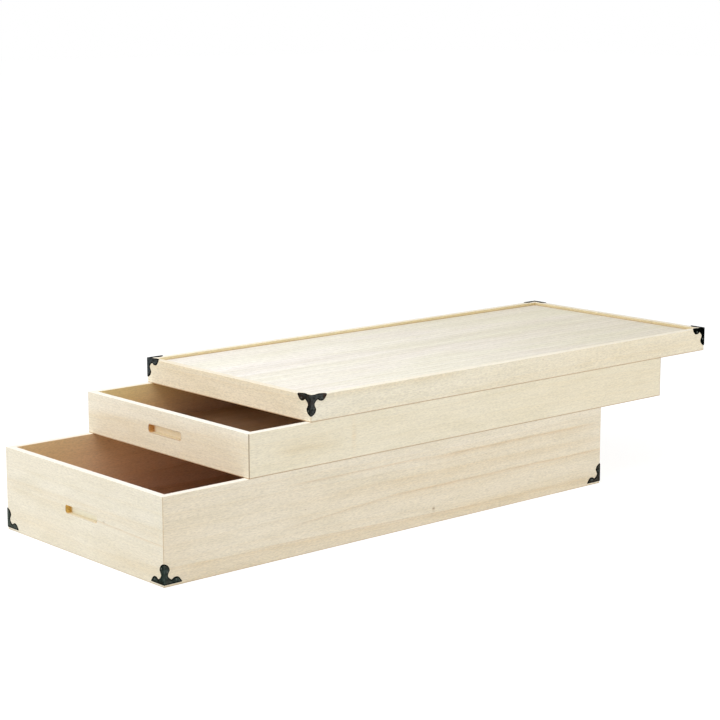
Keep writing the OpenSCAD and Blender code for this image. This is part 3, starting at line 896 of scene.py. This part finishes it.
def fitting_mesh(folded, salt):
    """A fitting for the front near corner, its leaf upwards, with its fold below if it has one."""
    straight, bend, all_free, face_plan, arm_plan = fitting_plan(folded)

    def along(points, nails):
        """Points of a bend, with the iron's thickness and its field there."""
        ways = [reach(p, all_free) for p in points]
        return [(p, iron_thickness(p, w, nails, salt), field_at(w)) for p, w in zip(points, ways)]

    mesh = bmesh.new()
    mesh.verts.layers.float.new("field")
    for face in (0, 1):
        nails = [LOBE_NAIL, LEAF_NAILS[face]]

        def on_face(x, y, z, swap=face):
            """A place on this face of the corner."""
            return Vector((y, x, z)) if swap else Vector((x, y, z))

        out = on_face(0, -1, 0)
        iron_sheet(mesh, face_plan, lambda p: on_face(p.x, 0, p.y), out, nails, salt)
        if folded:
            iron_sheet(mesh, arm_plan, lambda p: on_face(p.x, -p.y, 0), DOWN, nails, salt)
            edge = along(straight + [LOBE_TIP], nails)
            arcs = bend_strip(mesh, edge, lambda p: on_face(p.x, 0, 0), out, DOWN)
            end_cap(mesh, on_face(LOBE_TIP.x, 0, 0), arcs[-1])
    upright = along(bend + [Vector((0, 0))], [LOBE_NAIL, LEAF_NAILS[0]])
    arcs = bend_strip(mesh, upright, lambda p: Vector((0, 0, p.y)), NEAR, FRONT)
    end_cap(mesh, (0, 0, LEAF_L), arcs[0])
    if folded:
        corner_cap(mesh, *upright[-1][1:])
    else:
        end_cap(mesh, (0, 0, 0), arcs[-1])
    bmesh.ops.remove_doubles(mesh, verts=mesh.verts, dist=WELD)
    bmesh.ops.dissolve_degenerate(mesh, edges=mesh.edges, dist=SLIVER)
    return mesh


def corner_matrix(tier, back, far, folded):
    """Moves a shape from the front near corner to a corner of a tier, upside down for the rim."""
    flip = Matrix.Diagonal((-1 if back else 1, -1 if far else 1, 1, 1))
    corner = Matrix.Translation((-tier.half_l, -tier.half_w, 0))
    if folded:
        lift = Matrix.Translation((0, 0, tier.height)) @ Matrix.Diagonal((1, 1, -1, 1))
    else:
        lift = Matrix.Translation((0, 0, FITTING_UP))
    return Matrix.Translation(tier.centre) @ flip @ corner @ lift


def make_fitting(tier, back, far, folded, irons, salt):
    """One fitting, in place of its CAD node. The salt sets its dents."""
    corner = f"{'back' if back else 'front'}_{'far' if far else 'near'}"
    mesh = fitting_mesh(folded, salt)
    mesh.transform(corner_matrix(tier, back, far, folded))
    bmesh.ops.recalc_face_normals(mesh, faces=mesh.faces)
    data = bpy.data.meshes.new(f"{tier.name}_{corner}_iron")
    mesh.to_mesh(data)
    mesh.free()
    data.shade_smooth()
    data.set_sharp_from_angle(angle=SHARP_ANGLE)
    data.materials.append(irons.get(f"{tier.name}_{corner}", irons[tier.name]))
    piece = place_object(data)
    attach(piece, tier.body)
    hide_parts(f"{tier.name}_{corner}_fitting")


# Nails

def nail_tree():
    """Geometry nodes: a lathe-turned nail on each point, its head along the point's facing."""
    tree = bpy.data.node_groups.new("nails_on_points", "GeometryNodeTree")
    face = tree.interface
    face.new_socket("Geometry", in_out="INPUT", socket_type="NodeSocketGeometry")
    for name, value in (("Shank Radius", NAIL_R), ("Head Radius", HEAD_R), ("Head Height", HEAD_H),
                        ("Bite", NAIL_BITE), ("Seat", NAIL_SEAT)):
        face.new_socket(name, in_out="INPUT", socket_type="NodeSocketFloat").default_value = value
    face.new_socket("Finish", in_out="INPUT", socket_type="NodeSocketMaterial")
    face.new_socket("Geometry", in_out="OUTPUT", socket_type="NodeSocketGeometry")
    given = tree.nodes.new("NodeGroupInput").outputs

    # Profile of the nail up its axis: a tapering shank, then the dome from its seat on the plate
    seat, head_h, head_r = given["Seat"], given["Head Height"], given["Head Radius"]
    point = times(tree, given["Bite"], -1.0)
    foot = put(tree, "ShaderNodeCombineXYZ", {2: point})
    top = put(tree, "ShaderNodeCombineXYZ", {2: plus(tree, seat, head_h)})
    line = put(tree, "GeometryNodeCurvePrimitiveLine", {"Start": foot, "End": top})
    axis = put(tree, "GeometryNodeResampleCurve", {"Curve": line, "Count": NAIL_RINGS})
    height = split(tree, put(tree, "GeometryNodeInputPosition"))[2]
    rise = calc("DIVIDE", tree, minus(tree, height, seat), head_h, clamp=True)
    dome = calc("SQRT", tree, minus(tree, 1.0, times(tree, rise, rise)))
    dome = calc("MAXIMUM", tree, times(tree, dome, head_r), DOME_TOP)
    full = times(tree, point, POINT_START)
    taper = times(tree, step(tree, height, point, full, POINT_END, 1.0), given["Shank Radius"])
    in_head = calc("GREATER_THAN", tree, height, minus(tree, seat, DOME_LIP))
    radius = put(tree, "GeometryNodeSwitch", {0: in_head, 1: taper, 2: dome}, input_type="FLOAT")
    ring = put(tree, "GeometryNodeCurvePrimitiveCircle", {"Resolution": NAIL_SIDES, "Radius": 1.0})
    solid = put(tree, "GeometryNodeCurveToMesh", {
        "Curve": axis, "Profile Curve": ring, "Scale": radius, "Fill Caps": True})
    facing = put(tree, "GeometryNodeInputNamedAttribute", {0: "facing"}, data_type="FLOAT_VECTOR")
    turned = put(tree, "FunctionNodeAlignRotationToVector", {"Vector": facing}, axis="Z")
    placed = put(tree, "GeometryNodeInstanceOnPoints", {
        "Points": given["Geometry"], "Instance": solid, "Rotation": turned})
    real = put(tree, "GeometryNodeRealizeInstances", {0: placed})
    smooth = put(tree, "GeometryNodeSetShadeSmooth", {"Geometry": real})
    done = put(tree, "GeometryNodeSetMaterial", {"Geometry": smooth, "Material": given["Finish"]})
    put(tree, "NodeGroupOutput", {0: done})
    return tree


def make_nails(tier, folded, tree, finish):
    """The sixteen nails of a tier's four fittings, made by the tree and kept as a plain mesh."""
    spots, ways = [], []
    for back, far in CORNERS:
        matrix = corner_matrix(tier, back, far, folded)
        for face in (0, 1):
            for out, up in (LOBE_NAIL, LEAF_NAILS[face]):
                spot = Vector((0, out, up)) if face else Vector((out, 0, up))
                spots.append(matrix @ spot)
                way = matrix.to_3x3() @ (FRONT if face else NEAR)
                ways.append(way.normalized())
    data = bpy.data.meshes.new("nail_points")
    data.from_pydata(spots, [], [])
    facing = data.attributes.new("facing", "FLOAT_VECTOR", "POINT")
    facing.data.foreach_set("vector", [x for way in ways for x in way])
    points = place_object(data)
    modifier = points.modifiers.new("nails", "NODES")
    modifier.node_group = tree
    sockets = {s.name: s.identifier for s in tree.interface.items_tree if s.in_out == "INPUT"}
    modifier[sockets["Finish"]] = finish
    graph = bpy.context.evaluated_depsgraph_get()
    mesh = bpy.data.meshes.new_from_object(points.evaluated_get(graph), depsgraph=graph)
    bpy.data.objects.remove(points)
    mesh.name = f"{tier.name}_iron_nails"
    mesh.set_sharp_from_angle(angle=SHARP_ANGLE)
    piece = place_object(mesh)
    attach(piece, tier.body)
    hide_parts(f"{tier.name}_fitting_nails")


def make_ironwork(irons):
    """All fittings and nails."""
    tree, finish = nail_tree(), nail_iron()
    for tier, folded in ((TIERS["bottom"], False), (TIERS["lid"], True)):
        for back, far in CORNERS:
            make_fitting(tier, back, far, folded, irons, salt=10 * folded + 3 * back + far)
        make_nails(tier, folded, tree, finish)


# Floor, light and camera

# The floor lies just clear of the box, and is open under it so that its underside gets light
FLOOR_SIZE = 40.0
FLOOR_DROP, FLOOR_LAP = 0.2 * MM, 2 * MM
# The floor's tone as light on other things, its tone for the camera, and its glow there
FLOOR_BOUNCE, FLOOR_SEEN, FLOOR_GLOW = (0.7, 0.7, 0.69, 1), (0.35, 0.35, 0.35, 1), 0.83
WORLD_LIGHT = 0.5
# Lamps: place, size, watts and colour, and what they shine on
LAMPS = {
    "key_lamp": ((-0.9, -0.1, 2.1), 1.8, 26, (1.0, 0.99, 0.97)),
    "front_lamp": ((-2.0, 1.3, 0.8), 1.4, 13, (1.0, 0.99, 0.97)),
    "fill_lamp": ((1.6, -2.6, 0.6), 2.4, 35, (1.0, 0.995, 0.98)),
}
LAMP_AIM = Vector((0.13, 0, 0.12))


def seen_directly(tree):
    """1 for what the camera, a gloss or a glass sees, and 0 for light on other things."""
    path = tree.nodes.new("ShaderNodeLightPath").outputs
    seen = calc("MAXIMUM", tree, path["Is Camera Ray"], path["Is Glossy Ray"])
    return calc("MAXIMUM", tree, seen, path["Is Transmission Ray"])


def make_floor():
    """Plain white floor that keeps the object's shadow, and isn't seen from below."""
    data = bpy.data.meshes.new("studio_floor")
    half, box = FLOOR_SIZE / 2, TIERS["bottom"]
    spots = []
    for x, y in ((half, half), (box.half_l - FLOOR_LAP, box.half_w - FLOOR_LAP)):
        spots += [(x * i, y * j, -FLOOR_DROP) for i, j in ((-1, -1), (1, -1), (1, 1), (-1, 1))]
    data.from_pydata(spots, [], [(k, (k + 1) % 4, (k + 1) % 4 + 4, k + 4) for k in range(4)])
    material = bpy.data.materials.new("studio_floor")
    material.use_nodes = True
    tree = material.node_tree
    tree.nodes.clear()
    bounce = put(tree, "ShaderNodeBsdfDiffuse", {"Color": FLOOR_BOUNCE})
    shadow = put(tree, "ShaderNodeBsdfDiffuse", {"Color": FLOOR_SEEN})
    glow = put(tree, "ShaderNodeEmission", {"Color": WHITE, "Strength": FLOOR_GLOW})
    shown = put(tree, "ShaderNodeAddShader", {0: shadow, 1: glow})
    both = put(tree, "ShaderNodeMixShader", {0: seen_directly(tree), 1: bounce, 2: shown})
    below = tree.nodes.new("ShaderNodeNewGeometry").outputs["Backfacing"]
    clear = tree.nodes.new("ShaderNodeBsdfTransparent")
    whole = put(tree, "ShaderNodeMixShader", {0: below, 1: both, 2: clear})
    put(tree, "ShaderNodeOutputMaterial", {0: whole})
    data.materials.append(material)
    floor = place_object(data)


def make_world():
    """White surroundings: full white where they are seen, softer where they light."""
    world = bpy.data.worlds.new("studio")
    bpy.context.scene.world = world
    world.use_nodes = True
    tree = world.node_tree
    strength = step(tree, seen_directly(tree), 0.0, 1.0, WORLD_LIGHT, 1.0)
    feed(tree, tree.nodes["Background"], {"Color": WHITE, "Strength": strength})


def make_lamp(name, at, size, power, colour):
    """Soft square lamp that shines on the middle of the box."""
    data = bpy.data.lights.new(name, "AREA")
    data.shape, data.size = "SQUARE", size
    data.energy, data.color = power, colour
    lamp = place_object(data)
    lamp.location = at
    lamp.rotation_euler = (LAMP_AIM - Vector(at)).to_track_quat("-Z", "Y").to_euler()


def make_camera():
    """Camera at the photograph's place and angle."""
    data = bpy.data.cameras.new("camera")
    data.lens, data.sensor_width = CAMERA_LENS, CAMERA_SENSOR
    data.clip_start, data.clip_end = CAMERA_RANGE
    camera = place_object(data)
    camera.location = CAMERA_AT
    camera.rotation_euler = (math.radians(CAMERA_PITCH), 0, math.radians(CAMERA_YAW))
    bpy.context.scene.camera = camera


def make_studio():
    """Floor, light and camera."""
    make_floor()
    make_world()
    for name, (place, size, power, colour) in LAMPS.items():
        make_lamp(name, place, size, power, colour)
    make_camera()
    bpy.context.scene.view_settings.view_transform = "Standard"


# Iron of each tier, with copies for single corners: lighter ones as painted light on the front far
# corners, a darker one as painted shade on the lid's back near corner, and a browner one on the
# bottom's back near corner
irons = {
    "bottom": black_iron("bottom_black_iron", "#242c29", "#3e4743", 0.3),
    "bottom_front_far": black_iron("bottom_grey_iron", "#48504b", "#626a65", 0.2),
    "bottom_back_near": black_iron("bottom_brown_iron", "#2b2a25", "#464540", 0.3),
    "lid": black_iron("lid_black_iron", "#202221", "#3e403f", 0.85),
    "lid_front_far": black_iron("lid_front_far_painted_light_iron", "#2e3232", "#4a4f50", 0.3),
    "lid_back_near": black_iron("lid_back_near_painted_shade_iron", "#040605", "#121514", 0.0),
}
dress_boards(irons)
make_ironwork(irons)
make_studio()
